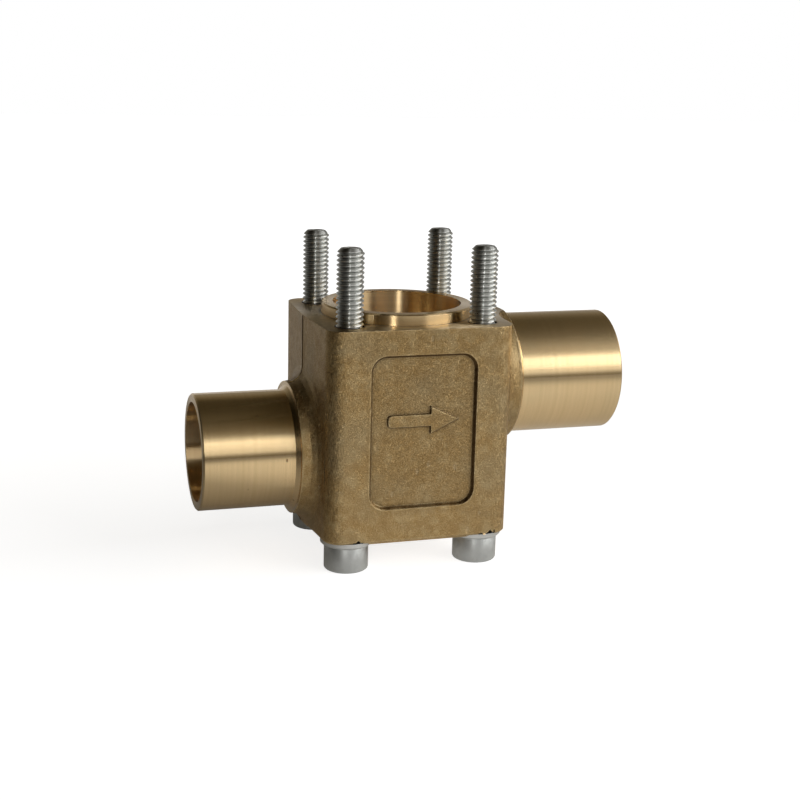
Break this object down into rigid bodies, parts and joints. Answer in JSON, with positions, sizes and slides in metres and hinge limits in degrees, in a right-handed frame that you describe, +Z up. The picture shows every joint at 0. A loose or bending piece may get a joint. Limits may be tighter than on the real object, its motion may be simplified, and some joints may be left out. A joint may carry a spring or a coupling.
{
  "type": "expansion valve body",
  "caption": "Brass expansion valve body with a low inlet tube, a high outlet tube, a ringed bore on top and cap screws standing up from below to hold the power head.",
  "frame": {"origin": "on the axis of the main bore and of the screw pattern, at the machined joint face from which the screws stand up", "axes": "+Z up along the main bore, out of its mouth; +X the way the flow goes, from the low inlet tube to the high outlet tube; +Y away from the face with the flow arrow"},
  "size_m": [0.0962, 0.042, 0.0707],
  "materials": {
    "forged_brass": "sandblasted forging, with turned tube ends and a ground joint face",
    "screw_steel": "plain zinc-plated steel, satin",
    "washer_steel": "plain steel, matte"
  },
  "bodies": {
    "root": {"valve_body": "forged_brass", "cap_screw_front_left": "screw_steel", "cap_screw_front_right": "screw_steel", "cap_screw_rear_left": "screw_steel", "cap_screw_rear_right": "screw_steel", "washer_front_left": "washer_steel", "washer_front_right": "washer_steel", "washer_rear_left": "washer_steel", "washer_rear_right": "washer_steel"}
  },
  "joints": []
}
